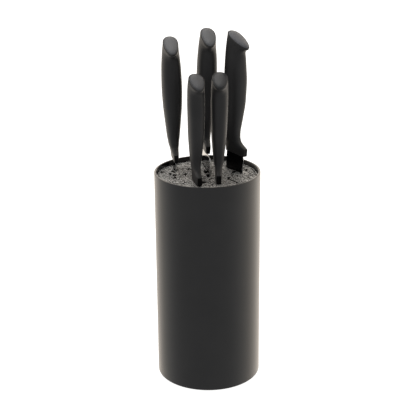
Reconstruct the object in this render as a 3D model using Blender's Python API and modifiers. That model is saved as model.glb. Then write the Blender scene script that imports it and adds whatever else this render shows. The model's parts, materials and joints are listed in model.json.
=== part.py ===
"""Round knife block with a removable bristle insert and five knives.

Metres, +Z up. The origin is the centre of the block's footprint, on the surface that it stands on.
Each knife hangs from its own empty: the empty's origin is the middle of the handle at the guard's lower
face, its +Z runs up the handle along the knife's pull-out axis, and its +Y points to the cutting edge.
"""

import math

import bmesh
import bpy
from mathutils import Matrix, Vector

OBJECT_NAME = "knife_block_with_knives"

# Block
BLOCK_RADIUS = 0.055
BLOCK_HEIGHT = 0.227
WALL = 0.0023
CASING_BOTTOM = 0.0005
LEDGE_TOP = 0.0032
LEDGE_RADIUS = 0.0485
RIM_ROUND = 0.0009
FOOT_EDGE_ROUND = 0.0012
TURN_STEPS = 72

# Base and feet
GAP = 0.0003
BASE_THICKNESS = 0.003
FOOT_RADIUS = 0.007
FOOT_CIRCLE = 0.037
FOOT_COUNT = 4
FOOT_SIDES = 28

# Bristle insert
HOLDER_RADIUS = 0.0522
HOLDER_FLOOR = 0.003
HOLDER_WALL = 0.0012
HOLDER_HEIGHT = 0.014
BRISTLE_TOP = 0.2215
BRISTLE_RADIUS = 0.0521
SLOT_CLEARANCE = 0.0004

# Handles, in fractions of the handle's length: how far the belly side and the half width swell.
# Each row is (fraction, belly, half width of a long handle, half width of a short handle).
HANDLE_PROFILE = (
    (0.000, 0.0208, 0.0028, 0.0031),
    (0.030, 0.0210, 0.0031, 0.0033),
    (0.056, 0.0209, 0.0035, 0.0035),
    (0.072, 0.0172, 0.0039, 0.0036),
    (0.090, 0.0118, 0.0044, 0.0039),
    (0.112, 0.0079, 0.0052, 0.0043),
    (0.145, 0.0064, 0.0059, 0.0049),
    (0.185, 0.0060, 0.0067, 0.0056),
    (0.245, 0.0071, 0.0075, 0.0062),
    (0.320, 0.0087, 0.0084, 0.0069),
    (0.450, 0.0108, 0.0098, 0.0079),
    (0.605, 0.0109, 0.0105, 0.0084),
    (0.750, 0.0090, 0.0101, 0.0087),
    (0.865, 0.0086, 0.0091, 0.0085),
    (0.948, 0.0116, 0.0082, 0.0081),
    (1.000, 0.0164, 0.0077, 0.0077),
)
GUARD_FACE = 0.0187
SPINE_OFFSET = 0.0128
SPINE_SWELL = 0.0014
EGG = 0.12
BUTT_EGG = 0.20
# How boxy a section is: 2 is an ellipse, and more is squarer.
GUARD_POWER = 4.0
BELLY_POWER = 2.6
SPINE_POWER = 2.1
BUTT_POWER = 2.2
GUARD_END = 0.17
BUTT_TILT = math.radians(25.0)
TILT_START = 0.72
BUTT_ROUND = 0.0005
RING_POINTS = 24

# Tangs and end caps
TANG_LOW_Y = -0.004
TANG_HIGH_Y = 0.005
TANG_HALF = 0.0010
POCKET_GAP = 0.0004
CAP_RECESS = 0.0015
CAP_INSET = 0.0009
CAP_RISE = 0.0014

# lift raises the top of the guard's front on its way up the neck.
LONG = {"length": 0.126, "height": 1.0, "column": 2, "lift": 0.0}
SHORT = {"length": 0.1093, "height": 0.85, "column": 3, "lift": 0.0022}

# Knives. guard is the empty's place, lean the tilt of the handle to +X and to +Y, yaw the turn of the
# cutting edge from -Y to +X. Blade outlines are (depth below the guard, spine y, edge y).
KNIVES = {
    "carving": {
        "guard": (-0.0342, 0.0230, 0.2338),
        "lean": (-0.92, 0.2),
        "yaw": 8.0,
        "handle": LONG,
        "thickness": 0.0020,
        "tang": 0.060,
        "down": 0.0118,
        "outline": (
            (0.0005, -0.0112, 0.0102),
            (0.0030, -0.0116, 0.0108),
            (0.0600, -0.0116, 0.0106),
            (0.1200, -0.0115, 0.0092),
            (0.1550, -0.0113, 0.0068),
            (0.1800, -0.0110, 0.0020),
            (0.1930, -0.0107, -0.0044),
            (0.2000, -0.0104, -0.0098),
        ),
    },
    "chef": {
        "guard": (-0.0018, 0.0337, 0.2402),
        "lean": (1.84, 0.0),
        "yaw": 9.0,
        "handle": LONG,
        "thickness": 0.0024,
        "tang": 0.060,
        "down": 0.0182,
        "outline": (
            (0.0005, -0.0122, 0.0170),
            (0.0020, -0.0124, 0.0300),
            (0.0050, -0.0124, 0.0330),
            (0.0450, -0.0124, 0.0324),
            (0.0900, -0.0123, 0.0290),
            (0.1300, -0.0120, 0.0228),
            (0.1600, -0.0113, 0.0150),
            (0.1830, -0.0100, 0.0056),
            (0.1950, -0.0086, -0.0020),
            (0.2000, -0.0074, -0.0066),
        ),
    },
    "bread": {
        "guard": (0.0284, 0.0190, 0.2406),
        "lean": (1.7, -0.27),
        "yaw": 36.0,
        "handle": LONG,
        "thickness": 0.0022,
        "tang": 0.060,
        "down": 0.0186,
        "outline": (
            (0.0005, -0.0118, 0.0150),
            (0.0030, -0.0121, 0.0158),
            (0.0900, -0.0121, 0.0158),
            (0.1700, -0.0120, 0.0154),
            (0.1860, -0.0092, 0.0150),
            (0.1950, -0.0030, 0.0140),
            (0.2000, 0.0060, 0.0120),
        ),
    },
    "utility": {
        "guard": (-0.0111, -0.0203, 0.2220),
        "lean": (0.75, -0.6),
        "yaw": 13.0,
        "handle": SHORT,
        "thickness": 0.0018,
        "tang": 0.048,
        "down": 0.0,
        "outline": (
            (0.0005, -0.0098, 0.0092),
            (0.0030, -0.0102, 0.0098),
            (0.0500, -0.0102, 0.0094),
            (0.0850, -0.0101, 0.0072),
            (0.1100, -0.0098, 0.0026),
            (0.1240, -0.0094, -0.0042),
            (0.1300, -0.0090, -0.0084),
        ),
    },
    "paring": {
        "guard": (0.0112, -0.0143, 0.2220),
        "lean": (1.17, 0.17),
        "yaw": 1.0,
        "handle": SHORT,
        "thickness": 0.0016,
        "tang": 0.048,
        "down": 0.0,
        "outline": (
            (0.0005, -0.0096, 0.0080),
            (0.0030, -0.0100, 0.0086),
            (0.0350, -0.0100, 0.0080),
            (0.0620, -0.0098, 0.0050),
            (0.0800, -0.0094, -0.0010),
            (0.0900, -0.0088, -0.0080),
        ),
    },
}


def material(name, colour, roughness, metallic=0.0):
    made = bpy.data.materials.new(name)
    made.use_nodes = True
    shader = made.node_tree.nodes["Principled BSDF"]
    shader.inputs["Base Color"].default_value = (*colour, 1.0)
    shader.inputs["Roughness"].default_value = roughness
    shader.inputs["Metallic"].default_value = metallic
    return made


def clear_scene():
    for old in list(bpy.data.objects):
        bpy.data.objects.remove(old, do_unlink=True)


def new_collection(name):
    made = bpy.data.collections.new(name)
    bpy.context.scene.collection.children.link(made)
    return made


def add_object(name, mesh, collection, look=None, parent=None):
    made = bpy.data.objects.new(name, mesh)
    collection.objects.link(made)
    if look:
        mesh.materials.clear()
        mesh.materials.append(look)
    if parent:
        made.parent = parent
    return made


def smooth(made, degrees=40.0):
    made.data.shade_smooth()
    made.data.set_sharp_from_angle(angle=math.radians(degrees))


def loft_mesh(name, rings):
    """A closed mesh through rings of the same number of points, its ends filled."""
    work = bmesh.new()
    rows = [[work.verts.new(point) for point in ring] for ring in rings]
    count = len(rings[0])
    for low, high in zip(rows, rows[1:]):
        for i in range(count):
            j = (i + 1) % count
            work.faces.new((low[i], low[j], high[j], high[i]))
    work.faces.new(list(reversed(rows[0])))
    work.faces.new(rows[-1])
    bmesh.ops.recalc_face_normals(work, faces=work.faces)
    mesh = bpy.data.meshes.new(name)
    work.to_mesh(mesh)
    work.free()
    return mesh


def cylinder_mesh(name, radius, low, high, sides):
    work = bmesh.new()
    place = Matrix.Translation((0.0, 0.0, (low + high) / 2.0))
    bmesh.ops.create_cone(
        work, cap_ends=True, segments=sides, radius1=radius, radius2=radius, depth=high - low, matrix=place
    )
    mesh = bpy.data.meshes.new(name)
    work.to_mesh(mesh)
    work.free()
    return mesh


def box_mesh(name, low, high):
    work = bmesh.new()
    size = [b - a for a, b in zip(low, high)]
    middle = [(a + b) / 2.0 for a, b in zip(low, high)]
    place = Matrix.Translation(middle) @ Matrix.Diagonal((*size, 1.0))
    bmesh.ops.create_cube(work, size=1.0, matrix=place)
    mesh = bpy.data.meshes.new(name)
    work.to_mesh(mesh)
    work.free()
    return mesh


def turned(name, profile, collection, look, closed):
    """A profile of (radius, height) points turned about Z, its outer side running from top to bottom."""
    edges = [(i, i + 1) for i in range(len(profile) - 1)]
    if closed:
        edges.append((len(profile) - 1, 0))
    mesh = bpy.data.meshes.new(name)
    mesh.from_pydata([(radius, 0.0, height) for radius, height in profile], edges, [])
    made = add_object(name, mesh, collection, look)
    screw = made.modifiers.new("Turn", "SCREW")
    screw.steps = TURN_STEPS
    screw.render_steps = TURN_STEPS
    screw.use_merge_vertices = True
    screw.merge_threshold = 0.00001
    screw.use_smooth_shade = True
    return made


def cut(target, cutter):
    difference = target.modifiers.new("Cut " + cutter.name, "BOOLEAN")
    difference.operation = "DIFFERENCE"
    difference.solver = "EXACT"
    difference.object = cutter


def as_cutter(made):
    made.hide_render = True
    made.display_type = "WIRE"
    return made


def arc(centre, radius, start, end, count):
    """Points on a quarter of a circle in the (radius, height) plane."""
    points = []
    for i in range(count):
        angle = math.radians(start + (end - start) * i / (count - 1))
        points.append((centre[0] + radius * math.cos(angle), centre[1] + radius * math.sin(angle)))
    return points


def make_casing(collection, look):
    inner = BLOCK_RADIUS - WALL
    edge = FOOT_EDGE_ROUND
    outside = arc((BLOCK_RADIUS - RIM_ROUND, BLOCK_HEIGHT - RIM_ROUND), RIM_ROUND, 90.0, 0.0, 4)
    bottom = arc((BLOCK_RADIUS - edge, CASING_BOTTOM + edge), edge, 0.0, -90.0, 5)
    ledge = [(LEDGE_RADIUS, CASING_BOTTOM), (LEDGE_RADIUS, LEDGE_TOP), (inner, LEDGE_TOP)]
    inside = arc((inner + RIM_ROUND, BLOCK_HEIGHT - RIM_ROUND), RIM_ROUND, 180.0, 90.0, 4)
    return turned("casing", outside + bottom + ledge + inside, collection, look, True)


def make_base(collection, plate_look, foot_look):
    low = LEDGE_TOP + GAP
    plate = add_object(
        "base_plate",
        cylinder_mesh("base_plate", BLOCK_RADIUS - WALL - GAP, low, low + BASE_THICKNESS, TURN_STEPS),
        collection,
        plate_look,
    )
    smooth(plate)
    for i in range(FOOT_COUNT):
        angle = math.radians(45.0 + 360.0 * i / FOOT_COUNT)
        name = f"foot_{i + 1}"
        mesh = cylinder_mesh(name, FOOT_RADIUS, 0.0, LEDGE_TOP, FOOT_SIDES)
        foot = add_object(name, mesh, collection, foot_look)
        foot.location = (FOOT_CIRCLE * math.cos(angle), FOOT_CIRCLE * math.sin(angle), 0.0)
        smooth(foot)
    return low + BASE_THICKNESS


def make_holder(collection, look, low):
    """The shallow cup that the bristles stand in. Returns the heights of its floor and its top."""
    floor = low + HOLDER_FLOOR
    top = low + HOLDER_HEIGHT
    inner = HOLDER_RADIUS - HOLDER_WALL
    profile = [
        (0.0, floor),
        (inner, floor),
        (inner, top),
        (HOLDER_RADIUS, top),
        (HOLDER_RADIUS, low),
        (0.0, low),
    ]
    turned("bristle_holder", profile, collection, look, False)
    return floor, top


def make_bristles(collection, cutters, look, floor, holder_top, frames):
    """The bristle bundle as one solid, with a slot for each blade to slide in."""
    root = HOLDER_RADIUS - HOLDER_WALL - GAP
    low = floor + GAP
    step = holder_top + GAP
    profile = [
        (0.0, BRISTLE_TOP),
        (BRISTLE_RADIUS, BRISTLE_TOP),
        (BRISTLE_RADIUS, step),
        (root, step),
        (root, low),
        (0.0, low),
    ]
    bed = turned("bristle_bed", profile, collection, look, False)
    for name, knife in KNIVES.items():
        cut(bed, slot_cutter(name, knife, cutters, frames[name]))


def slot_cutter(name, knife, cutters, frame):
    outline = knife["outline"]
    half = knife["thickness"] / 2.0 + SLOT_CLEARANCE
    spine = min(row[1] for row in outline) - SLOT_CLEARANCE
    edge = max(row[2] for row in outline) + SLOT_CLEARANCE
    depth = outline[-1][0] + knife["down"] + 0.004
    mesh = box_mesh(name + "_slot", (-half, spine, -depth), (half, edge, 0.030))
    return as_cutter(add_object(name + "_slot", mesh, cutters, parent=frame))


def knife_frame(name, knife, collection):
    """The knife's empty: +Z up the handle, +Y to the cutting edge."""
    lean_x, lean_y = (math.tan(math.radians(angle)) for angle in knife["lean"])
    up = Vector((lean_x, lean_y, 1.0)).normalized()
    yaw = math.radians(knife["yaw"])
    edge = Vector((math.sin(yaw), -math.cos(yaw), 0.0))
    edge = (edge - edge.dot(up) * up).normalized()
    side = edge.cross(up)
    turn = Matrix((side, edge, up)).transposed().to_4x4()
    frame = bpy.data.objects.new(name + "_axis", None)
    collection.objects.link(frame)
    frame.matrix_world = Matrix.Translation(knife["guard"]) @ turn
    return frame


def hermite(x, x0, x1, y0, y1, slope0, slope1):
    span = x1 - x0
    t = (x - x0) / span
    a = (1.0 + 2.0 * t) * (1.0 - t) ** 2
    b = t * (1.0 - t) ** 2
    c = t * t * (3.0 - 2.0 * t)
    d = t * t * (t - 1.0)
    return a * y0 + b * span * slope0 + c * y1 + d * span * slope1


def profile_value(fraction, column):
    """The handle profile's column at a fraction of its length, smooth and without overshoot."""
    rows = HANDLE_PROFILE
    place = 0
    while place < len(rows) - 2 and fraction > rows[place + 1][0]:
        place += 1

    def slope(i):
        if i in (0, len(rows) - 1):
            return 0.0
        before = (rows[i][column] - rows[i - 1][column]) / (rows[i][0] - rows[i - 1][0])
        after = (rows[i + 1][column] - rows[i][column]) / (rows[i + 1][0] - rows[i][0])
        if before * after <= 0.0:
            return 0.0
        return 2.0 * before * after / (before + after)

    low, high = rows[place], rows[place + 1]
    return hermite(fraction, low[0], high[0], low[column], high[column], slope(place), slope(place + 1))


def ease(value, start, end):
    t = min(max((value - start) / (end - start), 0.0), 1.0)
    return t * t * (3.0 - 2.0 * t)


def section_power(fraction, belly_side):
    """How boxy a section is: boxy at the guard, rounder along the grip, an egg at the butt."""
    grip = BELLY_POWER if belly_side else SPINE_POWER
    power = GUARD_POWER + (grip - GUARD_POWER) * ease(fraction, 0.0, GUARD_END)
    return power + (BUTT_POWER - power) * ease(fraction, TILT_START, 1.0)


def egg_ring(handle, fraction, inset=0.0, rise=0.0):
    """One section of the handle, in a plane that tilts towards the butt. The guard's front is cut flat.

    inset moves the outline inwards, and rise moves the section up along its plane's normal.
    """
    belly = profile_value(fraction, 1) * handle["height"] - inset
    spine = -(SPINE_OFFSET + SPINE_SWELL * math.sin(math.pi * fraction)) * handle["height"] + inset
    half = profile_value(fraction, handle["column"]) - inset
    turn = ease(fraction, TILT_START, 1.0)
    tilt = BUTT_TILT * turn
    egg = EGG + (BUTT_EGG - EGG) * turn
    lift = handle["lift"] * ease(fraction, 0.0, 0.08) * (1.0 - ease(fraction, 0.08, 0.45))
    centre = (belly + spine) / 2.0
    reach = (belly - spine) / 2.0
    ring = []
    for i in range(RING_POINTS):
        angle = 2.0 * math.pi * i / RING_POINTS
        power = 2.0 / section_power(fraction, math.cos(angle) > 0.0)
        across = math.copysign(abs(math.sin(angle)) ** power, math.sin(angle))
        along = math.copysign(abs(math.cos(angle)) ** power, math.cos(angle))
        x = half * across * (1.0 - egg * along)
        y = min(centre + reach * along, GUARD_FACE * handle["height"])
        z = fraction * handle["length"] + lift - (y + SPINE_OFFSET * handle["height"]) * math.tan(tilt)
        ring.append(Vector((x, y + rise * math.sin(tilt), z + rise * math.cos(tilt))))
    return ring


def make_handle(name, knife, collection, cutters, look, frame):
    handle = knife["handle"]
    fractions = [row[0] for row in HANDLE_PROFILE]
    halves = [(a + b) / 2.0 for a, b in zip(fractions[6:], fractions[7:])]
    rings = [egg_ring(handle, fraction) for fraction in sorted(fractions + halves)]
    rings.append(egg_ring(handle, 1.0, inset=BUTT_ROUND * 0.4, rise=BUTT_ROUND * 0.6))
    rings.append(egg_ring(handle, 1.0, inset=BUTT_ROUND, rise=BUTT_ROUND * 0.85))
    made = add_object(name + "_handle", loft_mesh(name + "_handle", rings), collection, look, frame)
    smooth(made)
    half = TANG_HALF + POCKET_GAP
    low = (-half, TANG_LOW_Y - POCKET_GAP, -0.002)
    high = (half, TANG_HIGH_Y + POCKET_GAP, knife["tang"] + POCKET_GAP)
    pocket = add_object(name + "_pocket", box_mesh(name + "_pocket", low, high), cutters, parent=frame)
    cut(made, as_cutter(pocket))
    recess_rings = [egg_ring(handle, 1.0, CAP_INSET - GAP, rise) for rise in (BUTT_ROUND - CAP_RECESS, 0.004)]
    recess = add_object(name + "_recess", loft_mesh(name + "_recess", recess_rings), cutters, parent=frame)
    cut(made, as_cutter(recess))


def make_end_cap(name, knife, collection, look, frame):
    """The lighter cap set into the butt, with a low dome."""
    steps = (
        (0.0, BUTT_ROUND - CAP_RECESS + GAP),
        (0.0, BUTT_ROUND + CAP_RISE * 0.1),
        (0.0003, BUTT_ROUND + CAP_RISE * 0.4),
        (0.0014, BUTT_ROUND + CAP_RISE * 0.75),
        (0.0034, BUTT_ROUND + CAP_RISE),
    )
    rings = [egg_ring(knife["handle"], 1.0, CAP_INSET + inset, rise) for inset, rise in steps]
    made = add_object(name + "_end_cap", loft_mesh(name + "_end_cap", rings), collection, look, frame)
    smooth(made)


def blade_ring(depth, spine, edge, half):
    """A wedge section: full thickness at the spine, thin at the edge."""
    middle = spine + (edge - spine) * 0.35
    thin = half * 0.12
    right = ((thin, edge), (half * 0.92, middle), (half, spine))
    left = ((-half, spine), (-half * 0.92, middle), (-thin, edge))
    return [Vector((x, y, -depth)) for x, y in left + right]


def tang_ring(height):
    xs = (-TANG_HALF, -TANG_HALF, -TANG_HALF, TANG_HALF, TANG_HALF, TANG_HALF)
    middle = (TANG_LOW_Y + TANG_HIGH_Y) / 2.0
    ys = (TANG_LOW_Y, middle, TANG_HIGH_Y, TANG_HIGH_Y, middle, TANG_LOW_Y)
    return [Vector((x, y, height)) for x, y in zip(xs, ys)]


def make_blade(name, knife, collection, look, frame):
    half = knife["thickness"] / 2.0
    outline = knife["outline"]
    last = outline[-1][0]
    rings = [tang_ring(knife["tang"]), tang_ring(-0.0003)]
    for depth, spine, edge in outline:
        taper = 1.0 - 0.45 * (depth / last) ** 2
        rings.append(blade_ring(depth, spine, edge, half * taper))
    add_object(name + "_blade", loft_mesh(name + "_blade", rings), collection, look, frame)


def build():
    clear_scene()
    parts = new_collection(OBJECT_NAME)
    cutters = new_collection("cutters")
    soft_black = material("casing", (0.021, 0.021, 0.022), 0.5)
    base_black = material("base", (0.018, 0.018, 0.019), 0.6)
    rubber = material("foot_rubber", (0.012, 0.012, 0.012), 0.85)
    holder_black = material("holder", (0.020, 0.020, 0.021), 0.55)
    bristle = material("bristle", (0.22, 0.215, 0.205), 0.5)
    handle_black = material("handle", (0.026, 0.026, 0.028), 0.42)
    cap_grey = material("end_cap", (0.150, 0.147, 0.143), 0.5)
    coated = material("coated_blade", (0.010, 0.010, 0.011), 0.2, 0.4)

    make_casing(parts, soft_black)
    base_top = make_base(parts, base_black, rubber)
    floor, holder_top = make_holder(parts, holder_black, base_top + GAP)
    frames = {name: knife_frame(name, knife, parts) for name, knife in KNIVES.items()}
    make_bristles(parts, cutters, bristle, floor, holder_top, frames)
    for name, knife in KNIVES.items():
        make_blade(name, knife, parts, coated, frames[name])
        make_handle(name, knife, parts, cutters, handle_black, frames[name])
        make_end_cap(name, knife, parts, cap_grey, frames[name])


build()
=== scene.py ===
"""Looks of the round knife block: casing, bristle insert and five knives, over the fixed CAD frame."""
import json
import math

import bmesh
import bpy
import numpy as np
from mathutils import Matrix, Vector


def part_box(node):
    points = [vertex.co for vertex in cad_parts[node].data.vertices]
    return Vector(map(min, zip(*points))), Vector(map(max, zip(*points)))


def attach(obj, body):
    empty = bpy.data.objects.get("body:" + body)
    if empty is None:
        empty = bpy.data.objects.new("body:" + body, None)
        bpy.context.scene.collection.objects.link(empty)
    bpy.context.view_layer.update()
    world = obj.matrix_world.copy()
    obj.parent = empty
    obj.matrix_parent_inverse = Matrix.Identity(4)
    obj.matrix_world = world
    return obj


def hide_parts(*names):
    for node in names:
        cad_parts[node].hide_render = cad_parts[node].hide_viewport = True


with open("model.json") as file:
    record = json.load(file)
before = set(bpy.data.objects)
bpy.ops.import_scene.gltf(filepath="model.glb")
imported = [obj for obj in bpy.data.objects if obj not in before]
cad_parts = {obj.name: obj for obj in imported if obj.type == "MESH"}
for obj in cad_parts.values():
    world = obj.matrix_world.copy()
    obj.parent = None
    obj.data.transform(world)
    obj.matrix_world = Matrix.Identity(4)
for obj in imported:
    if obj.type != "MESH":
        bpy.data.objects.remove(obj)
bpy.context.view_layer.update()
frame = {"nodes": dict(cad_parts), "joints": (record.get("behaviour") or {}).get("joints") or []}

# Studio: a pale floor, a surround whose brightness runs along a direction, one light overhead and the camera.
FLOOR_HALF = 10.0
FLOOR_TONE = 0.40
FLOOR_GLOW = 0.93
LIGHT_PLACE = (-0.3, 0.5, 1.5)
LIGHT_AIM = (0.0, 0.0, 0.2)
LIGHT_SIZE = (1.0, 0.8)
LIGHT_POWER = 9.0
CAMERA_PLACE = (0.0, -1.09082, 0.58348)
# Downward pitch, yaw and roll in radians; the sensor's width and the lens in millimetres.
CAMERA_TURN = (0.34956, 0.0004, -0.0076)
CAMERA_SENSOR = 36.0
CAMERA_LENS = 96.0715385
SURROUND_SLOPE = (0.2, 1.0, 0.0)
SURROUND_STRENGTH = 2.2
# (place along the direction, colour): dark in front of the object, bright behind it
SURROUND_TONES = (
    (0.0, (0.24, 0.24, 0.245)),
    (0.25, (0.26, 0.26, 0.26)),
    (0.40, (0.335, 0.33, 0.33)),
    (0.51, (0.43, 0.42, 0.40)),
    (0.60, (0.50, 0.48, 0.445)),
    (0.70, (0.60, 0.555, 0.50)),
    (0.80, (0.79, 0.72, 0.645)),
    (1.0, (1.10, 1.00, 0.88)),
)

KNIVES = ("carving", "chef", "bread", "utility", "paring")
SHORT_KNIVES = ("utility", "paring")

# Casing
CASING_STEPS = 256
CASING_WALL = 0.0023
LEDGE_RADIUS = 0.0485
LEDGE_TOP = 0.0032
RIM_ROUND = 0.0009
FOOT_EDGE_ROUND = 0.0012

# Bristles: single rods around a dark core, which is the CAD's solid made narrower and lower
PITCH = 0.00150
ROD_RADIUS = 0.00070
ROD_SIDES = 8
ROD_CHAMFER = 0.00010
BRISTLE_RADIUS = 0.0521
INNER_ROD_DEPTH = 0.012
CORE_DROP = 0.009
CORE_SHRINK = 0.0022
# How far off a blade, an old cut or a gap the bristles are still pushed aside.
PART_REACH = 0.0075
OLD_CUT_REACH = 0.005
GAP_REACH = 0.0045
# How far past a line's ends the push fades out, beyond half the line's own width.
END_FADE = 0.0006
# About how far off a blade the bristles lean with it, and how far off they stay below its guard.
LEAN_REACH = 0.003
GUARD_REACH = 0.0065
# Rods nearer than this to one that stands beside a blade or the casing are left out, in radii.
ROD_APART = 1.75
# Spacing of the rods beside a blade and beside the casing, in radii, and the most by which they stand off.
BLADE_SPACING = 2.1
WALL_SPACING = 2.15
STAND_OFF = 0.0003
# The least depth at which a blade's section is taken for its place in the bristles.
LEAST_DEPTH = 0.003
# The rods in full length fill this many pitches inwards from the bundle's outside.
OUTER_ROWS = 2.6
# The close packing: its row spacing in pitches, its turn, and the two waves that bend it.
ROW_STEP = 0.866
PATTERN_TURN = 0.35
WAVE_RATES = (260.0, 190.0)
WAVE_SIZES = (0.0006, 0.0005)
WAVE_START = 1.3
WAVE_SHIFT = 7
CLUMPS = 90
CLUMP_PULL = 0.04
# The share of bristles that stand low and how low, and how much the bundle rises to its rim.
RECESSED = 0.05
RECESS_DEPTHS = (0.0015, 0.0060)
EDGE_RISE = 0.0010
# Unevenness of the rods: place, width, height, slant of the end and lean.
PLACE_NOISE = 0.00016
WIDTH_RANGE = (0.92, 1.06)
HEIGHT_NOISE = 0.00022
HEIGHT_LIMITS = (-0.0006, 0.0003)
HEIGHT_DROP = 0.0003
SLANT_NOISE = 0.06
LEAN_NOISE = 0.00012
# Places where the bristles stand apart: x, y and half the width of the gap.
GAPS = (
    (-0.0355, 0.0143, 0.0016),
    (-0.0329, 0.0206, 0.0013),
    (-0.0383, 0.0063, 0.0014),
    (-0.0340, 0.0016, 0.0016),
    (-0.0334, -0.0066, 0.0013),
    (-0.0230, 0.0050, 0.0013),
    (-0.0195, 0.0223, 0.0011),
    (-0.0015, 0.0131, 0.0019),
    (0.0011, 0.0014, 0.0017),
    (-0.0037, -0.0211, 0.0012),
    (0.0221, -0.0079, 0.0013),
    (0.0411, 0.0167, 0.0013),
    (0.0272, 0.0124, 0.0011),
    (-0.0467, 0.0115, 0.0011),
)
# How much longer a gap is from front to back than across.
GAP_STRETCH = 1.9
# Cuts left by knives that aren't here: from, to and half the width.
OLD_CUTS = (
    ((0.0225, -0.0115), (0.0312, -0.0255), 0.0009),
    ((0.0150, 0.0332), (0.0212, 0.0318), 0.0007),
)

# The rods' tones, from the darkest to the lightest rod, on their ends and on their sides: the ends' light
# grey is partly the sheared ends' own paleness and partly painted light, and the sides' near black is painted
# shade
LIT_TIP_TONES = (
    (0.0, (0.22, 0.218, 0.21)),
    (0.5, (0.40, 0.396, 0.38)),
    (1.0, (0.70, 0.69, 0.66)),
)
SHADED_SIDE_TONES = (
    (0.0, (0.005, 0.005, 0.005)),
    (0.5, (0.012, 0.012, 0.011)),
    (1.0, (0.025, 0.024, 0.023)),
)

# Blades, as in the CAD: (depth below the guard, spine y, edge y)
BLADES = {
    "carving": {
        "thickness": 0.0020,
        "tang": 0.060,
        "outline": (
            (0.0005, -0.0112, 0.0102),
            (0.0030, -0.0116, 0.0108),
            (0.0600, -0.0116, 0.0106),
            (0.1200, -0.0115, 0.0092),
            (0.1550, -0.0113, 0.0068),
            (0.1800, -0.0110, 0.0020),
            (0.1930, -0.0107, -0.0044),
            (0.2000, -0.0104, -0.0098),
        ),
    },
    "chef": {
        "thickness": 0.0024,
        "tang": 0.060,
        "outline": (
            (0.0005, -0.0122, 0.0170),
            (0.0020, -0.0124, 0.0300),
            (0.0050, -0.0124, 0.0330),
            (0.0450, -0.0124, 0.0324),
            (0.0900, -0.0123, 0.0290),
            (0.1300, -0.0120, 0.0228),
            (0.1600, -0.0113, 0.0150),
            (0.1830, -0.0100, 0.0056),
            (0.1950, -0.0086, -0.0020),
            (0.2000, -0.0074, -0.0066),
        ),
    },
    "bread": {
        "thickness": 0.0022,
        "tang": 0.060,
        "outline": (
            (0.0005, -0.0118, 0.0150),
            (0.0030, -0.0121, 0.0158),
            (0.0900, -0.0121, 0.0158),
            (0.1700, -0.0120, 0.0154),
            (0.1860, -0.0092, 0.0150),
            (0.1950, -0.0030, 0.0140),
            (0.2000, 0.0060, 0.0120),
        ),
    },
    "utility": {
        "thickness": 0.0018,
        "tang": 0.048,
        "outline": (
            (0.0005, -0.0098, 0.0092),
            (0.0030, -0.0102, 0.0098),
            (0.0500, -0.0102, 0.0094),
            (0.0850, -0.0101, 0.0072),
            (0.1100, -0.0098, 0.0026),
            (0.1240, -0.0094, -0.0042),
            (0.1300, -0.0090, -0.0084),
        ),
    },
    "paring": {
        "thickness": 0.0016,
        "tang": 0.048,
        "outline": (
            (0.0005, -0.0096, 0.0080),
            (0.0030, -0.0100, 0.0086),
            (0.0350, -0.0100, 0.0080),
            (0.0620, -0.0098, 0.0050),
            (0.0800, -0.0094, -0.0010),
            (0.0900, -0.0088, -0.0080),
        ),
    },
}
COATING_GLOSS = {"carving": 0.5, "chef": 0.55, "bread": 0.12, "utility": 0.3, "paring": 0.3}
TANG_LEVELS = (0.005, 0.002, 0.0, -0.002, -0.004)
TANG_HALF = 0.0010
BLADE_STATIONS = 90
# The part of its thickness that a blade loses from heel to tip.
TIP_THINNING = 0.45
SPINE_CORNER = 0.0004
# How far the blade's shoulders reach up into the handle, so that no light shows between them.
BLADE_SEAT = 0.0004
# The flats' half width, in parts of the spine's, and where along the section each is reached.
GRIND_HALF = 0.92
GRIND_STOPS = (0.0, 0.35, 1.0)
BEVEL_WIDTH = 0.0010
BEVEL_HALF = 0.00028
EDGE_HALF = 0.00004
# The depths between which the ground bevel grows to its full width.
BEVEL_START = (0.004, 0.010)
# The bread knife's scallops: where they start, how far short of the tip they end, their pitch and depth.
SCALLOP_START = 0.012
SCALLOP_END = 0.006
SCALLOP_PITCH = 0.0046
SCALLOP_DEPTH = 0.0008
SCALLOP_STATIONS = 8

# Handles, as in the CAD: (fraction of length, belly, half width long, half width short)
HANDLE_PROFILE = (
    (0.000, 0.0208, 0.0028, 0.0031),
    (0.030, 0.0210, 0.0031, 0.0033),
    (0.056, 0.0209, 0.0035, 0.0035),
    (0.072, 0.0172, 0.0039, 0.0036),
    (0.090, 0.0118, 0.0044, 0.0039),
    (0.112, 0.0079, 0.0052, 0.0043),
    (0.145, 0.0064, 0.0059, 0.0049),
    (0.185, 0.0060, 0.0067, 0.0056),
    (0.245, 0.0071, 0.0075, 0.0062),
    (0.320, 0.0087, 0.0084, 0.0069),
    (0.450, 0.0108, 0.0098, 0.0079),
    (0.605, 0.0109, 0.0105, 0.0084),
    (0.750, 0.0090, 0.0101, 0.0087),
    (0.865, 0.0086, 0.0091, 0.0085),
    (0.948, 0.0116, 0.0082, 0.0081),
    (1.000, 0.0164, 0.0077, 0.0077),
)
LONG_HANDLE = 0.126
SHORT_HANDLE = 0.1093
SHORT_SCALE = 0.85
# How far a short handle's sections are drawn up above its guard, where along it most, and where no longer.
SHORT_GUARD_LIFT = 0.0022
LIFT_PEAK = 0.08
LIFT_END = 0.45
GUARD_FACE = 0.0187
# The guard's broken lower edge: (inset, rise).
GUARD_STEPS = ((0.0005, 0.0), (0.0001, 0.0002))
SPINE_OFFSET = 0.0128
SPINE_SWELL = 0.0014
# How much wider a section is on its spine side than on its belly side.
EGG = 0.12
BUTT_EGG = 0.20
# How boxy the sections are: 2 is an oval, and more is squarer.
GUARD_POWER = 4.0
BELLY_POWER = 2.6
SPINE_POWER = 2.1
BUTT_POWER = 2.2
GUARD_END = 0.17
BUTT_TILT = math.radians(25.0)
TILT_START = 0.72
BUTT_ROUND = 0.0005
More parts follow.
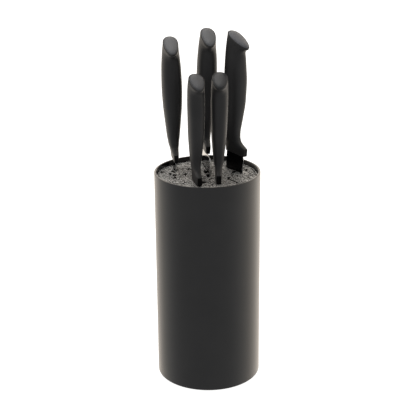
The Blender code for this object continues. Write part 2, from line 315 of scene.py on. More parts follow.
# The butt's rounded rim: (inset, rise) in parts of BUTT_ROUND.
BUTT_STEPS = ((0.10, 0.35), (0.35, 0.70), (0.70, 0.93), (0.95, 1.0))
CAP_INSET = 0.0009
CAP_RISE = 0.0014
# The cap's border, fine groove and low dome: (inset, part of CAP_RISE).
CAP_STEPS = (
    (0.0, 0.0),
    (0.0002, 0.15),
    (0.0009, 0.34),
    (0.00105, 0.25),
    (0.0012, 0.41),
    (0.0022, 0.64),
    (0.0036, 0.84),
    (0.0052, 0.96),
    (0.0066, 1.0),
)
# How deep the cap's edge stands in the butt, how far the pocket around it stands off, and how deep that is.
CAP_FOOT = 0.0006
POCKET_LIP = 0.0003
POCKET_DEPTH = 0.0008
CAP_GLOSS = 0.22
# Cap tones: the grey is partly the caps' own tone and partly painted light from above; the utility and paring
# caps are darker as painted shade from the taller knives behind them.
CAP_TONES_LIGHT_AND_SHADE = {
    "carving": (0.063, 0.066, 0.072),
    "chef": (0.060, 0.063, 0.069),
    "bread": (0.065, 0.068, 0.076),
    "utility": (0.041, 0.043, 0.048),
    "paring": (0.0155, 0.0165, 0.019),
}
HANDLE_POINTS = 72
HANDLE_RINGS = 96
# Heights above a handle's lowest point: its lower face is below the first and its guard below the second.
# Above the third, the blade is all tang.
FACE_SLICE = 0.0002
GUARD_SLICE = 0.006
TANG_SLICE = 0.02

# Plastics: darker and lighter tone, lower and higher roughness, the grain's scale and depth, gloss
PLASTICS = {
    "soft_touch_black": ((0.003, 0.003, 0.0031), (0.005, 0.005, 0.0051), 0.30, 0.38, 5200.0, 0.00004, 0.5),
    "grip_black": ((0.0095, 0.0095, 0.0098), (0.013, 0.013, 0.0133), 0.50, 0.58, 4200.0, 0.00005, 0.32),
    # The guard's front faces: the grip's plastic made darker, a painted shade.
    "guard_face_painted_shade": ((0.002, 0.002, 0.0021), (0.0032, 0.0032, 0.0034), 0.30, 0.36, 4200.0, 0.00003, 0.15),
    "smooth_black": ((0.002, 0.002, 0.002), (0.0035, 0.0035, 0.0035), 0.14, 0.2, 2400.0, 0.00001, 0.5),
    "base_black": ((0.014, 0.014, 0.014), (0.020, 0.020, 0.020), 0.5, 0.65, 1800.0, 0.00008, 0.5),
    "foot_rubber": ((0.010, 0.010, 0.010), (0.018, 0.018, 0.017), 0.75, 0.9, 900.0, 0.0001, 0.5),
    "bristle_shadow": ((0.004, 0.004, 0.004), (0.008, 0.008, 0.008), 0.8, 0.95, 900.0, 0.0002, 0.5),
}


# ---------------------------------------------------------------- shading helpers
def principled(name, colour, roughness, **sockets):
    made = bpy.data.materials.new(name)
    made.use_nodes = True
    nodes, links = made.node_tree.nodes, made.node_tree.links
    shader = nodes["Principled BSDF"]
    shader.inputs["Base Color"].default_value = (*colour, 1.0)
    shader.inputs["Roughness"].default_value = roughness
    for socket, value in sockets.items():
        shader.inputs[socket.replace("_", " ")].default_value = value
    return made, nodes, links, shader


def coordinates(nodes, links, scale=(1.0, 1.0, 1.0), turn=0.0):
    where = nodes.new("ShaderNodeTexCoord")
    mapping = nodes.new("ShaderNodeMapping")
    mapping.inputs["Scale"].default_value = scale
    mapping.inputs["Rotation"].default_value = (0.0, 0.0, turn)
    links.new(where.outputs["Object"], mapping.inputs["Vector"])
    return mapping.outputs["Vector"]


def noise(nodes, links, vector, scale, detail=3.0, roughness=0.55):
    made = nodes.new("ShaderNodeTexNoise")
    made.inputs["Scale"].default_value = scale
    made.inputs["Detail"].default_value = detail
    made.inputs["Roughness"].default_value = roughness
    links.new(vector, made.inputs["Vector"])
    return made.outputs["Fac"]


def ramp(nodes, links, value, stops):
    made = nodes.new("ShaderNodeValToRGB")
    elements = made.color_ramp.elements
    elements[0].position, elements[0].color = stops[0][0], (*stops[0][1], 1.0)
    elements[1].position, elements[1].color = stops[-1][0], (*stops[-1][1], 1.0)
    for position, colour in stops[1:-1]:
        elements.new(position).color = (*colour, 1.0)
    links.new(value, made.inputs["Fac"])
    return made.outputs["Color"]


def bump(nodes, links, shader, height, strength, distance):
    made = nodes.new("ShaderNodeBump")
    made.inputs["Strength"].default_value = strength
    made.inputs["Distance"].default_value = distance
    links.new(height, made.inputs["Height"])
    links.new(made.outputs["Normal"], shader.inputs["Normal"])


def two_tone(nodes, links, value, low, high, start=0.3, end=0.7):
    """A ramp from one colour to another; single numbers stand for greys."""
    low, high = ((tone, tone, tone) if isinstance(tone, float) else tone for tone in (low, high))
    return ramp(nodes, links, value, ((start, low), (end, high)))


def multiply(nodes, links, first, second, factor):
    made = nodes.new("ShaderNodeMix")
    made.data_type = "RGBA"
    made.blend_type = "MULTIPLY"
    made.inputs["Factor"].default_value = factor
    links.new(first, made.inputs["A"])
    links.new(second, made.inputs["B"])
    return made.outputs["Result"]


def moulded_plastic(name, dark, light, rough_low, rough_high, grain, depth, gloss):
    """Plastic with a fine moulded grain, a soft unevenness of tone and of gloss."""
    made, nodes, links, shader = principled(name, light, rough_high, Specular_IOR_Level=gloss)
    vector = coordinates(nodes, links)
    broad = noise(nodes, links, vector, 28.0, 2.0)
    fine = noise(nodes, links, vector, grain, 2.0, 0.6)
    links.new(two_tone(nodes, links, broad, dark, light), shader.inputs["Base Color"])
    links.new(two_tone(nodes, links, fine, rough_low, rough_high), shader.inputs["Roughness"])
    bump(nodes, links, shader, fine, 0.35, depth)
    return made


def bristle_material(name, tones, gloss):
    """Plastic rods, each with its own tone and fine streaks, and darker towards the middle as painted shade
    from the handles standing over it.
    """
    made, nodes, links, shader = principled(name, (0.05, 0.05, 0.05), 0.42, Specular_IOR_Level=gloss)
    island = nodes.new("ShaderNodeNewGeometry")
    tone = ramp(nodes, links, island.outputs["Random Per Island"], tones)
    streak = noise(nodes, links, coordinates(nodes, links, (1.0, 1.0, 0.03)), 2400.0, 2.0)
    streaked = multiply(nodes, links, tone, two_tone(nodes, links, streak, 0.55, 1.0), 0.5)
    # Painted shade: the rods darken towards the bundle's middle, where the handles stand over it.
    reach = nodes.new("ShaderNodeVectorMath")
    reach.operation = "LENGTH"
    links.new(coordinates(nodes, links, (1.0, 1.0, 0.0)), reach.inputs[0])
    middle_shade_range = nodes.new("ShaderNodeMapRange")
    middle_shade_range.inputs["From Max"].default_value = BRISTLE_RADIUS
    links.new(reach.outputs["Value"], middle_shade_range.inputs["Value"])
    middle = two_tone(nodes, links, middle_shade_range.outputs["Result"], 0.62, 1.0, 0.35, 0.9)
    links.new(multiply(nodes, links, streaked, middle, 1.0), shader.inputs["Base Color"])
    links.new(two_tone(nodes, links, streak, 0.30, 0.55), shader.inputs["Roughness"])
    bump(nodes, links, shader, streak, 0.3, 0.00006)
    return made


def coated_material(name, gloss):
    """Smooth black non-stick coating with the faintest orange peel."""
    dark, light = (0.0025, 0.0025, 0.0028), (0.0045, 0.0045, 0.005)
    made, nodes, links, shader = principled(name + "_coating", light, 0.14, Specular_IOR_Level=gloss)
    peel = noise(nodes, links, coordinates(nodes, links), 900.0, 2.0)
    smear = noise(nodes, links, coordinates(nodes, links, (1.0, 1.0, 0.25)), 60.0, 3.0)
    links.new(two_tone(nodes, links, smear, 0.10, 0.17, 0.35), shader.inputs["Roughness"])
    links.new(two_tone(nodes, links, smear, dark, light, end=0.75), shader.inputs["Base Color"])
    bump(nodes, links, shader, peel, 0.05, 0.00002)
    return made


def cap_material(name):
    """Grey plastic with faint lengthwise streaks, along the knife's own back-to-front line; its grey is
    partly painted light from above, and the short knives' caps are darker as painted shade.
    """
    tone = CAP_TONES_LIGHT_AND_SHADE[name]
    made, nodes, links, shader = principled(name + "_cap_grey_painted_light_and_shade", tone, 0.5, Specular_IOR_Level=CAP_GLOSS)
    vector = coordinates(nodes, links, (1.0, 0.06, 1.0), -knife_yaw(name))
    streaks = noise(nodes, links, vector, 1500.0, 3.0, 0.6)
    grain = noise(nodes, links, coordinates(nodes, links), 4200.0, 2.0)
    dark, light = (tuple(channel * factor for channel in tone) for factor in (0.82, 1.16))
    links.new(two_tone(nodes, links, streaks, dark, light), shader.inputs["Base Color"])
    links.new(two_tone(nodes, links, grain, 0.42, 0.55), shader.inputs["Roughness"])
    bump(nodes, links, shader, streaks, 0.25, 0.00005)
    return made


def ground_steel_material():
    """The bare ground strip along the cutting edge, with grinding lines across it."""
    made, nodes, links, shader = principled("ground_steel", (0.55, 0.55, 0.56), 0.28, Metallic=1.0)
    dark, light = (0.42, 0.42, 0.43), (0.62, 0.62, 0.63)
    lines = noise(nodes, links, coordinates(nodes, links, (1.0, 1.0, 30.0)), 300.0, 2.0)
    links.new(two_tone(nodes, links, lines, 0.20, 0.38), shader.inputs["Roughness"])
    links.new(two_tone(nodes, links, lines, dark, light), shader.inputs["Base Color"])
    bump(nodes, links, shader, lines, 0.15, 0.00002)
    return made


# ---------------------------------------------------------------- mesh helpers
def add_piece(name, mesh, body, look, replaced=()):
    """Puts a mesh in the scene on a body, in place of the named CAD nodes."""
    made = bpy.data.objects.new(name, mesh)
    bpy.context.scene.collection.objects.link(made)
    if look:
        mesh.materials.append(look)
    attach(made, body)
    if replaced:
        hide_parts(*replaced)


def smooth(mesh, degrees=35.0):
    mesh.shade_smooth()
    mesh.set_sharp_from_angle(angle=math.radians(degrees))


def closed_mesh(name, points, faces):
    """A mesh of one closed body, with its faces pointing out."""
    mesh = bpy.data.meshes.new(name)
    mesh.from_pydata([tuple(point) for point in points], [], faces)
    work = bmesh.new()
    work.from_mesh(mesh)
    bmesh.ops.recalc_face_normals(work, faces=work.faces)
    work.to_mesh(mesh)
    work.free()
    return mesh


def loft_mesh(name, rings):
    """A skin over rings of as many points each, with a flat face at both ends."""
    count = len(rings[0])
    faces = []
    for row in range(len(rings) - 1):
        for i in range(count):
            j = (i + 1) % count
            faces.append((row * count + i, row * count + j, (row + 1) * count + j, (row + 1) * count + i))
    faces.append(tuple(reversed(range(count))))
    faces.append(tuple((len(rings) - 1) * count + i for i in range(count)))
    return closed_mesh(name, [point for ring in rings for point in ring], faces)


def turned_mesh(name, profile, steps):
    """A closed profile of (radius, height) points turned about Z."""
    count = len(profile)
    points, faces = [], []
    for i in range(steps):
        angle = 2.0 * math.pi * i / steps
        points += [(radius * math.cos(angle), radius * math.sin(angle), height) for radius, height in profile]
    for i in range(steps):
        j = (i + 1) % steps
        for k in range(count):
            m = (k + 1) % count
            faces.append((i * count + k, i * count + m, j * count + m, j * count + k))
    return closed_mesh(name, points, faces)


def arc(centre, radius, start, end, count):
    """Points along an arc, from one angle in degrees to another."""
    angles = [math.radians(start + (end - start) * i / (count - 1)) for i in range(count)]
    return [(centre[0] + radius * math.cos(a), centre[1] + radius * math.sin(a)) for a in angles]


# ---------------------------------------------------------------- block
def make_casing(outside_look, inside_look):
    low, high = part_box("casing")
    radius, top, bottom = high.x, high.z, low.z
    inner = radius - CASING_WALL
    edge = FOOT_EDGE_ROUND
    profile = arc((radius - RIM_ROUND, top - RIM_ROUND), RIM_ROUND, 90.0, 0.0, 8)
    profile += [(radius, top - (top - bottom) * i / 12.0) for i in range(1, 12)]
    profile += arc((radius - edge, bottom + edge), edge, 0.0, -90.0, 10)
    profile += [(LEDGE_RADIUS, bottom), (LEDGE_RADIUS, LEDGE_TOP), (inner, LEDGE_TOP)]
    profile += arc((inner + RIM_ROUND, top - RIM_ROUND), RIM_ROUND, 180.0, 90.0, 8)[:-1]
    mesh = turned_mesh("casing_shell", profile, CASING_STEPS)
    smooth(mesh)
    add_piece("casing_shell", mesh, "block", outside_look, ("casing",))
    mesh.materials.append(inside_look)
    for polygon in mesh.polygons:
        reach = math.hypot(polygon.center.x, polygon.center.y)
        if reach < inner + RIM_ROUND * 0.3:
            polygon.material_index = 1


# ---------------------------------------------------------------- knives
def knife_frame(name):
    """The knife's own frame, from its CAD nodes: +Z up the handle, +Y to the edge, origin at the guard."""
    joint = next(j for j in frame["joints"] if j["name"] == name + "_pull")
    up = Vector(joint["axis"]).normalized()
    handle = np.array([v.co[:] for v in frame["nodes"][name + "_handle"].data.vertices])
    blade = np.array([v.co[:] for v in frame["nodes"][name + "_blade"].data.vertices])
    along = np.array(up)
    heights = handle @ along
    base = heights.min()
    flat = blade - np.outer(blade @ along, along)
    middle = flat.mean(0)
    edge = np.linalg.svd(flat - middle, full_matrices=False)[2][0]
    guard = handle[heights < base + GUARD_SLICE].mean(0)
    tang = blade[blade @ along > base + TANG_SLICE].mean(0)
    if (guard - tang) @ edge < 0.0:
        edge = -edge
    spine = (handle[heights < base + FACE_SLICE] @ edge).min()
    origin = along * base + edge * (spine + SPINE_OFFSET * height_scale(name))
    side = np.cross(edge, along)
    origin = origin + side * (middle @ side)
    turn = Matrix((Vector(side), Vector(edge), up)).transposed().to_4x4()
    return Matrix.Translation(Vector(origin)) @ turn


def knife_yaw(name):
    """How far the knife's edge side is turned from -Y to +X."""
    edge = FRAMES[name].to_3x3() @ Vector((0.0, 1.0, 0.0))
    return math.atan2(edge.x, -edge.y)


def height_scale(name):
    return SHORT_SCALE if name in SHORT_KNIVES else 1.0


def handle_length(name):
    return SHORT_HANDLE if name in SHORT_KNIVES else LONG_HANDLE


def guard_lift(name):
    return SHORT_GUARD_LIFT if name in SHORT_KNIVES else 0.0


def curve_value(rows, at, column, free_ends=False):
    """A column of a table of rows at a value of its first column, smooth and without overshoot."""
    place = 0
    while place < len(rows) - 2 and at > rows[place + 1][0]:
        place += 1

    def rate(i):
        return (rows[i + 1][column] - rows[i][column]) / (rows[i + 1][0] - rows[i][0])

    def slope(i):
        if i in (0, len(rows) - 1):
            return rate(min(i, len(rows) - 2)) if free_ends else 0.0
        before, after = rate(i - 1), rate(i)
        if before * after <= 0.0:
            return 0.0
        return 2.0 * before * after / (before + after)

    low, high = rows[place], rows[place + 1]
    span = high[0] - low[0]
    t = (at - low[0]) / span
    return (
        (1.0 + 2.0 * t) * (1.0 - t) ** 2 * low[column]
        + t * (1.0 - t) ** 2 * span * slope(place)
        + t * t * (3.0 - 2.0 * t) * high[column]
        + t * t * (t - 1.0) * span * slope(place + 1)
    )


def ease(value, start, end):
    """From 0 at start to 1 at end, level at both."""
    t = min(max((value - start) / (end - start), 0.0), 1.0)
    return t * t * (3.0 - 2.0 * t)


def section_power(fraction, belly_side):
    """How boxy a section is: boxy at the guard, rounder along the grip, an egg at the butt."""
    grip = BELLY_POWER if belly_side else SPINE_POWER
    power = GUARD_POWER + (grip - GUARD_POWER) * ease(fraction, 0.0, GUARD_END)
    return power + (BUTT_POWER - power) * ease(fraction, TILT_START, 1.0)


def egg_ring(name, fraction, inset=0.0, rise=0.0):
    """A handle's section at a fraction of its length, made smaller by inset and raised off its plane."""
    height = height_scale(name)
    belly = curve_value(HANDLE_PROFILE, fraction, 1) * height - inset
    spine = -(SPINE_OFFSET + SPINE_SWELL * math.sin(math.pi * fraction)) * height + inset
    half = curve_value(HANDLE_PROFILE, fraction, 3 if name in SHORT_KNIVES else 2) - inset
    turn = ease(fraction, TILT_START, 1.0)
    tilt = BUTT_TILT * turn
    egg = EGG + (BUTT_EGG - EGG) * turn
    rising, falling = ease(fraction, 0.0, LIFT_PEAK), ease(fraction, LIFT_PEAK, LIFT_END)
    lift = guard_lift(name) * rising * (1.0 - falling)
    centre, reach = (belly + spine) / 2.0, (belly - spine) / 2.0
    ring = []
    for i in range(HANDLE_POINTS):
        angle = 2.0 * math.pi * i / HANDLE_POINTS
        power = 2.0 / section_power(fraction, math.cos(angle) > 0.0)
        across = math.copysign(abs(math.sin(angle)) ** power, math.sin(angle))
        along = math.copysign(abs(math.cos(angle)) ** power, math.cos(angle))
        x = half * across * (1.0 - egg * along)
        y = min(centre + reach * along, GUARD_FACE * height - inset)
        z = fraction * handle_length(name) + lift - (y + SPINE_OFFSET * height) * math.tan(tilt)
        ring.append(Vector((x, y + rise * math.sin(tilt), z + rise * math.cos(tilt))))
    return ring


def make_handle(name, place, look, shaded_face_look):
    """The grip, from the guard's broken lower edge to the shallow pocket around the cap."""
    rings = [egg_ring(name, 0.0, inset, rise) for inset, rise in GUARD_STEPS]
    rings += [egg_ring(name, i / HANDLE_RINGS) for i in range(1, HANDLE_RINGS + 1)]
    rings += [egg_ring(name, 1.0, BUTT_ROUND * inset, BUTT_ROUND * rise) for inset, rise in BUTT_STEPS]
    lip = CAP_INSET - POCKET_LIP
    for inset, drop in ((lip - 0.0001, 0.0), (lip, 0.0001), (lip, POCKET_DEPTH)):
        rings.append(egg_ring(name, 1.0, inset, BUTT_ROUND - drop))
    mesh = loft_mesh(name + "_grip", rings)
    # The guard's front faces get the darker look: painted shade on the grip's own plastic.
    face = GUARD_FACE * height_scale(name) - 0.0002
    shaded_fronts = [p.index for p in mesh.polygons if all(mesh.vertices[v].co.y > face for v in p.vertices)]
    mesh.transform(place)
    smooth(mesh, 40.0)
    add_piece(name + "_grip", mesh, name + "_knife", look, (name + "_handle",))
    mesh.materials.append(shaded_face_look)
    for index in shaded_fronts:
        mesh.polygons[index].material_index = 1


def make_cap(name, place, look):
    """The cap set into the butt."""
    rings = [egg_ring(name, 1.0, CAP_INSET, BUTT_ROUND - CAP_FOOT)]
    for inset, part in CAP_STEPS:
        rings.append(egg_ring(name, 1.0, CAP_INSET + inset, BUTT_ROUND + CAP_RISE * part))
    mesh = loft_mesh(name + "_butt_cap", rings)
    mesh.transform(place)
    smooth(mesh, 30.0)
    add_piece(name + "_butt_cap", mesh, name + "_knife", look, (name + "_end_cap",))


def blade_stations(name):
    """Depths at which the blade's section is set, close together at the heel and at the tip."""
    start, last = BLADES[name]["outline"][0][0], BLADES[name]["outline"][-1][0]
    turns = [math.pi * i / BLADE_STATIONS for i in range(BLADE_STATIONS + 1)]
    depths = {round(start + (last - start) * (1.0 - math.cos(turn)) / 2.0, 6) for turn in turns}
    if name == "bread":
        count = int((last - SCALLOP_END - SCALLOP_START) / SCALLOP_PITCH) * SCALLOP_STATIONS
        step = SCALLOP_PITCH / SCALLOP_STATIONS
        scallops = {round(SCALLOP_START + step * i, 6) for i in range(count + 1)}
        outside = {depth for depth in depths if not SCALLOP_START < depth < max(scallops)}
        depths = outside | scallops
    return sorted(depths)


def scallop(name, depth):
    """How far a scallop cuts into the bread knife's edge at this depth."""
    last = BLADES[name]["outline"][-1][0]
    count = int((last - SCALLOP_END - SCALLOP_START) / SCALLOP_PITCH)
    along = (depth - SCALLOP_START) / SCALLOP_PITCH
    if name != "bread" or not 0.0 < along < count:
        return 0.0
    return SCALLOP_DEPTH * abs(math.sin(math.pi * along))


def blade_section(name, depth):
    """A flat-ground wedge with rounded spine corners and a ground bevel along the edge."""
    outline = BLADES[name]["outline"]
    half = BLADES[name]["thickness"] / 2.0 * (1.0 - TIP_THINNING * (depth / outline[-1][0]) ** 2)
    spine = curve_value(outline, depth, 1, True)
    edge = curve_value(outline, depth, 2, True) - scallop(name, depth)
    width = edge - spine
    bevel = min(BEVEL_WIDTH, width * 0.25) * (0.1 + 0.9 * ease(depth, *BEVEL_START))
    corner = min(SPINE_CORNER, width * 0.1)
    right = (
        (EDGE_HALF, edge),
        (min(BEVEL_HALF, half * 0.6), edge - bevel),
        (half * GRIND_HALF, spine + width * GRIND_STOPS[1]),
        (half, spine + corner),
        (half - corner * 0.7, spine),
    )
    left = tuple((-x, y) for x, y in reversed(right))
    return [Vector((x, y, -depth)) for x, y in right + left]


def tang_section(height):
    """The tang's rectangle, with as many points as a blade section."""
    right = [Vector((TANG_HALF, y, height)) for y in TANG_LEVELS]
    return right + [Vector((-TANG_HALF, y, height)) for y in reversed(TANG_LEVELS)]


def make_blade(name, place, coating, steel):
    """The tang and the coated blade, with the bevel along its edge in bare steel."""
    rings = [tang_section(BLADES[name]["tang"]), tang_section(BLADE_SEAT + 0.0002)]
    rings += [blade_section(name, depth) for depth in blade_stations(name)]
    rings.insert(2, [Vector((point.x, point.y, BLADE_SEAT)) for point in rings[2]])
    count = len(rings[0])
    title = name + "_blade_steel"
    mesh = loft_mesh(title, rings)
    mesh.transform(place)
    smooth(mesh, 12.0)
    add_piece(title, mesh, name + "_knife", coating, (name + "_blade",))
    mesh.materials.append(steel)
    bevels = {0, count - 2, count - 1}
    for polygon in mesh.polygons:
        row, strip = divmod(polygon.index, count)
        if strip in bevels and 1 < row < len(rings) - 1:
            polygon.material_index = 1


# ---------------------------------------------------------------- bristles
def slot_data():
    """Each blade where it enters the bristles: spine end, edge end, its half widths there and its slope."""
    slots = []
    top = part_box("bristle_bed")[1].z
    for name in KNIVES:
        place = FRAMES[name]
        up = place.to_3x3() @ Vector((0.0, 0.0, 1.0))
        depth = max(place.translation.z - top, LEAST_DEPTH)
        outline = BLADES[name]["outline"]
        ends = [place @ Vector((0.0, curve_value(outline, depth, column), -depth)) for column in (1, 2)]
        half = BLADES[name]["thickness"] / 2.0
        slots.append({
            "start": np.array(ends[0][:2]),
            "end": np.array(ends[1][:2]),
            "halves": np.array((half, GRIND_HALF * half, BEVEL_HALF)),
            "slope": np.array((up.x / up.z, up.y / up.z)),
        })
    return slots


def beside_line(points, start, end):
    """For points near a line: how far along it, off it and past its ends they are, and the way across it."""
    span = end - start
    length = np.linalg.norm(span)
    along = span / length
    across = np.array((-along[1], along[0]))
    rel = points - start
    t = rel @ along / length
    past = np.maximum(np.maximum(-t, t - 1.0), 0.0) * length
    return t, rel @ across, past, across


def push_from_line(points, start, end, halves, reach):
    """Moves points sideways off a line, most at the line and none at reach."""
    t, off, past, across = beside_line(points, start, end)
    half = np.interp(t, GRIND_STOPS, halves)
    fade = np.clip(1.0 - past / (half + END_FADE), 0.0, 1.0)
    size = np.abs(off)
    push = np.where(size < reach, half * (1.0 - size / reach), 0.0) * fade
    sign = np.where(off >= 0.0, 1.0, -1.0)
    return points + np.outer(push * sign, across)


def distance_off(points, slot):
    """Distance from each point to a blade's middle line."""
    _, off, past, _ = beside_line(points, slot["start"], slot["end"])
    return np.hypot(off, past)


def push_from_point(points, centre, half, reach):
    """Moves points away from a centre, so that an oval hole opens there, longer front to back."""
    stretch = np.array((1.0, GAP_STRETCH))
    rel = (points - np.array(centre)) / stretch
    size = np.maximum(np.linalg.norm(rel, axis=1), 1e-6)
    push = np.where(size < reach, half * (1.0 - size / reach), 0.0)
    return points + rel / size[:, None] * push[:, None] * stretch


def rods_beside(slot, rng):
    """Rods that lie against both sides of a blade, from its spine round to its edge."""
    start, end = slot["start"], slot["end"]
    length = np.linalg.norm(end - start)
    along = (end - start) / length
    across = np.array((-along[1], along[0]))
    count = int(length / (BLADE_SPACING * ROD_RADIUS))
    t = (np.arange(count) + 0.5) / count
    half = np.interp(t, GRIND_STOPS, slot["halves"]) + ROD_RADIUS * 1.06
    middle = start + np.outer(t, end - start)
    rods = []
    for side in (-1.0, 1.0):
        rods.append(middle + np.outer(side * (half + rng.uniform(0.0, STAND_OFF, count)), across))
    clear = ROD_RADIUS * 1.15
    ends = np.array((start - along * clear, end + along * clear))
    return np.concatenate(rods + [ends])


def join_rods(places, beside):
    """Adds the rods that stand beside something, in place of those that would be too near them."""
    apart = np.linalg.norm(places[:, None, :] - beside[None], axis=2).min(axis=1)
    return np.concatenate((places[apart > ROD_APART * ROD_RADIUS], beside))


def clump(points, centres):
    """Draws each point a little towards the nearest centre, which opens cracks between the clumps."""
    nearest = np.linalg.norm(points[:, None, :] - centres[None], axis=2).argmin(axis=1)
    return points + (centres[nearest] - points) * CLUMP_PULL


def rod_places(radius):
    """Where the rods stand: an uneven close packing, parted around the blades, old cuts and gaps."""
    rng = np.random.default_rng(11)
    rows = int(radius / (PITCH * ROW_STEP)) + 2
    places = []
    for row in range(-rows, rows + 1):
        y = row * PITCH * ROW_STEP
        shift = (row % 2) * PITCH / 2.0
        for column in range(-rows - 2, rows + 3):
            places.append((column * PITCH + shift, y))
    places = np.array(places)
    cosine, sine = math.cos(PATTERN_TURN), math.sin(PATTERN_TURN)
    places = places @ np.array(((cosine, -sine), (sine, cosine))).T
    wave = np.sin(places[:, 1] * WAVE_RATES[0] + WAVE_START) * WAVE_SIZES[0]
    wave += np.sin(places[:, 0] * WAVE_RATES[1]) * WAVE_SIZES[1]
    places = places + np.c_[wave, np.roll(wave, WAVE_SHIFT)]
    places = places + rng.normal(0.0, PLACE_NOISE, places.shape)
    limit = radius - ROD_RADIUS
    places = places[np.linalg.norm(places, axis=1) < limit]
    places = clump(places, rng.uniform(-radius, radius, (CLUMPS, 2)))
    for slot in SLOTS:
        halves = slot["halves"] + ROD_RADIUS * 0.8
        places = push_from_line(places, slot["start"], slot["end"], halves, PART_REACH)
    for slot in SLOTS:
        places = join_rods(places, rods_beside(slot, rng))
    for start, end, half in OLD_CUTS:
        halves = np.full(3, half + ROD_RADIUS * 0.5)
        places = push_from_line(places, np.array(start), np.array(end), halves, OLD_CUT_REACH)
    for x, y, half in GAPS:
        places = push_from_point(places, (x, y), half + ROD_RADIUS * 0.3, GAP_REACH)
    size = np.linalg.norm(places, axis=1)
    places = places * np.minimum(1.0, limit / np.maximum(size, 1e-9))[:, None]
    count = int(2.0 * math.pi * limit / (WALL_SPACING * ROD_RADIUS))
    turns = 2.0 * math.pi * (np.arange(count) + rng.uniform(-0.12, 0.12, count)) / count
    beside = (limit - rng.uniform(0.0, STAND_OFF, count))[:, None] * np.c_[np.cos(turns), np.sin(turns)]
    return join_rods(places, beside)


def rods_mesh(name, places, low, top, seed, shaded_side_look, lit_tip_look):
    """Upright rods with chamfered, slightly slanted ends, at the given places."""
    rng = np.random.default_rng(seed)
    count = len(places)
    angles = np.arange(ROD_SIDES) * 2.0 * math.pi / ROD_SIDES
    circle = np.c_[np.cos(angles), np.sin(angles)]
    radii = ROD_RADIUS * rng.uniform(*WIDTH_RANGE, count)
    heights = top + rng.normal(0.0, HEIGHT_NOISE, count).clip(*HEIGHT_LIMITS) - HEIGHT_DROP
    heights += EDGE_RISE * (np.linalg.norm(places, axis=1) / BRISTLE_RADIUS) ** 2
    heights -= np.where(rng.random(count) < RECESSED, rng.uniform(*RECESS_DEPTHS, count), 0.0)
    slant = rng.normal(0.0, SLANT_NOISE, (count, 2))
    lean = rng.normal(0.0, LEAN_NOISE, (count, 2))
    for slot in SLOTS:
        off = distance_off(places, slot)
        heights = np.where(off < GUARD_REACH, np.minimum(heights, top - 0.0001), heights)
        follow = np.clip(1.5 - off / LEAN_REACH, 0.0, 1.0)
        lean = lean * (1.0 - follow)[:, None] + np.outer(follow, slot["slope"] * (top - low))
    points = np.zeros((count, 3, ROD_SIDES, 3))
    for ring, (shrink, level) in enumerate(((0.0, None), (0.0, ROD_CHAMFER), (ROD_CHAMFER, 0.0))):
        size = (radii - shrink)[:, None, None]
        flat = circle[None] * size
        points[:, ring, :, :2] = places[:, None, :] + flat
        if level is None:
            points[:, ring, :, :2] -= lean[:, None, :]
            points[:, ring, :, 2] = low
        else:
            tipped = (flat * slant[:, None, :]).sum(2)
            points[:, ring, :, 2] = heights[:, None] - level + tipped
    starts = (np.arange(count) * 3 * ROD_SIDES)[:, None]
    faces = []
    for low_ring in (0, ROD_SIDES):
        high_ring = low_ring + ROD_SIDES
        for i in range(ROD_SIDES):
            j = (i + 1) % ROD_SIDES
            quad = np.array((low_ring + i, low_ring + j, high_ring + j, high_ring + i))
            faces += (starts + quad).tolist()
    faces += (starts + np.arange(2 * ROD_SIDES, 3 * ROD_SIDES)).tolist()
    mesh = bpy.data.meshes.new(name)
    mesh.from_pydata(points.reshape(-1, 3).tolist(), [], faces)
    mesh.shade_smooth()
    mesh.set_sharp_from_angle(angle=math.radians(50.0))
    # Ends take the lit tip tones and sides the near-black shaded tones: painted light and painted shade on
    # one plastic.
    looks_used = np.zeros(len(faces), dtype=int)
    looks_used[count * ROD_SIDES:] = 1
    mesh.materials.append(shaded_side_look)
    mesh.materials.append(lit_tip_look)
    mesh.polygons.foreach_set("material_index", looks_used)
    return mesh


def make_bristles(shaded_side_look, lit_tip_look, core_look):
    """Full-length rods around the outside, short ones inside, and the dark core between and below them."""
    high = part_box("bristle_bed")[1]
    holder_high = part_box("bristle_holder")[1]
    radius = high.x + 0.0002
    places = rod_places(radius)
    size = np.linalg.norm(places, axis=1)
    outer = size > radius - OUTER_ROWS * PITCH
    for name, chosen, foot, seed in (
        ("bristles_inner", ~outer, high.z - INNER_ROD_DEPTH, 3),
        ("bristles_outer", outer, holder_high.z - 0.001, 5),
    ):
        mesh = rods_mesh(name, places[chosen], foot, high.z, seed, shaded_side_look, lit_tip_look)
        add_piece(name, mesh, "insert", None)
    core = frame["nodes"]["bristle_bed"].data.copy()
    core.name = "bristle_core"
    for vertex in core.vertices:
        reach = math.hypot(vertex.co.x, vertex.co.y)
        if reach > high.x - 0.0003:
            vertex.co.x *= (reach - CORE_SHRINK) / reach
            vertex.co.y *= (reach - CORE_SHRINK) / reach
        if vertex.co.z > high.z - 0.0001:
            vertex.co.z -= CORE_DROP
    core.materials.clear()
    add_piece("bristle_core", core, "insert", core_look, ("bristle_bed",))


# ---------------------------------------------------------------- stage
def make_floor():
    mesh = bpy.data.meshes.new("floor")
    corners = ((-1.0, -1.0), (1.0, -1.0), (1.0, 1.0), (-1.0, 1.0))
    mesh.from_pydata([(x * FLOOR_HALF, y * FLOOR_HALF, 0.0) for x, y in corners], [], [(0, 1, 2, 3)])
    look, _, _, shader = principled("floor_paper", (FLOOR_TONE, FLOOR_TONE, FLOOR_TONE), 0.8)
    shader.inputs["Specular IOR Level"].default_value = 0.0
    shader.inputs["Emission Color"].default_value = (1.0, 1.0, 1.0, 1.0)
    shader.inputs["Emission Strength"].default_value = FLOOR_GLOW
    mesh.materials.append(look)
    made = bpy.data.objects.new("floor", mesh)
    bpy.context.scene.collection.objects.link(made)
    made.visible_glossy = False


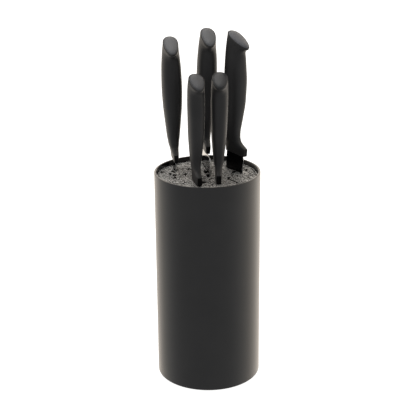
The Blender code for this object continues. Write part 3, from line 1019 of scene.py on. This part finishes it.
def make_world():
    """A white surround that is brightest behind the object and falls off to dark towards its front."""
    world = bpy.data.worlds.new("studio")
    bpy.context.scene.world = world
    world.use_nodes = True
    nodes, links = world.node_tree.nodes, world.node_tree.links
    background = nodes["Background"]
    where = nodes.new("ShaderNodeTexCoord")
    along = nodes.new("ShaderNodeVectorMath")
    along.operation = "DOT_PRODUCT"
    along.inputs[1].default_value = SURROUND_SLOPE
    links.new(where.outputs["Generated"], along.inputs[0])
    spread = nodes.new("ShaderNodeMapRange")
    spread.inputs["From Min"].default_value = -1.0
    spread.inputs["From Max"].default_value = 1.0
    links.new(along.outputs["Value"], spread.inputs["Value"])
    links.new(ramp(nodes, links, spread.outputs["Result"], SURROUND_TONES), background.inputs["Color"])
    background.inputs["Strength"].default_value = SURROUND_STRENGTH
    backdrop = nodes.new("ShaderNodeBackground")
    backdrop.inputs["Color"].default_value = (1.0, 1.0, 1.0, 1.0)
    mix = nodes.new("ShaderNodeMixShader")
    seen = nodes.new("ShaderNodeLightPath")
    links.new(seen.outputs["Is Camera Ray"], mix.inputs["Fac"])
    links.new(background.outputs["Background"], mix.inputs[1])
    links.new(backdrop.outputs["Background"], mix.inputs[2])
    links.new(mix.outputs["Shader"], nodes["World Output"].inputs["Surface"])


def make_light():
    data = bpy.data.lights.new("overhead", "AREA")
    data.shape = "RECTANGLE"
    data.size, data.size_y = LIGHT_SIZE
    data.energy = LIGHT_POWER
    made = bpy.data.objects.new("overhead", data)
    bpy.context.scene.collection.objects.link(made)
    made.location = LIGHT_PLACE
    made.visible_camera = False
    made.rotation_euler = (Vector(LIGHT_AIM) - Vector(LIGHT_PLACE)).to_track_quat("-Z", "Y").to_euler()


def make_camera():
    data = bpy.data.cameras.new("camera")
    data.sensor_width = CAMERA_SENSOR
    data.lens = CAMERA_LENS
    camera = bpy.data.objects.new("camera", data)
    bpy.context.scene.collection.objects.link(camera)
    pitch, yaw, roll = CAMERA_TURN
    forward = Vector((math.sin(yaw) * math.cos(pitch), math.cos(yaw) * math.cos(pitch), -math.sin(pitch)))
    right = Vector((math.cos(yaw), -math.sin(yaw), 0.0))
    up = right.cross(forward)
    right_rolled = math.cos(roll) * right + math.sin(roll) * up
    up_rolled = -math.sin(roll) * right + math.cos(roll) * up
    turn = Matrix((right_rolled, up_rolled, -forward)).transposed().to_4x4()
    camera.matrix_world = Matrix.Translation(CAMERA_PLACE) @ turn
    bpy.context.scene.camera = camera


def make_materials():
    made = {name: moulded_plastic(name, *values) for name, values in PLASTICS.items()}
    made["bristle_tips_painted_light"] = bristle_material("bristle_tips_painted_light", LIT_TIP_TONES, 0.5)
    made["bristle_sides_painted_shade"] = bristle_material("bristle_sides_painted_shade", SHADED_SIDE_TONES, 0.1)
    made["ground_steel"] = ground_steel_material()
    return made


def dress(node, look):
    """Gives a CAD node that is shown as it is its material."""
    mesh = frame["nodes"][node].data
    mesh.materials.clear()
    mesh.materials.append(look)


FRAMES = {name: knife_frame(name) for name in KNIVES}
SLOTS = slot_data()
looks = make_materials()
make_casing(looks["soft_touch_black"], looks["smooth_black"])
make_bristles(looks["bristle_sides_painted_shade"], looks["bristle_tips_painted_light"], looks["bristle_shadow"])
for knife in KNIVES:
    make_handle(knife, FRAMES[knife], looks["grip_black"], looks["guard_face_painted_shade"])
    make_cap(knife, FRAMES[knife], cap_material(knife))
    coating = coated_material(knife, COATING_GLOSS[knife])
    make_blade(knife, FRAMES[knife], coating, looks["ground_steel"])
dress("base_plate", looks["base_black"])
dress("bristle_holder", looks["base_black"])
for number in range(1, 5):
    dress(f"foot_{number}", looks["foot_rubber"])
make_floor()
make_world()
make_light()
make_camera()
bpy.context.scene.view_settings.view_transform = "Standard"
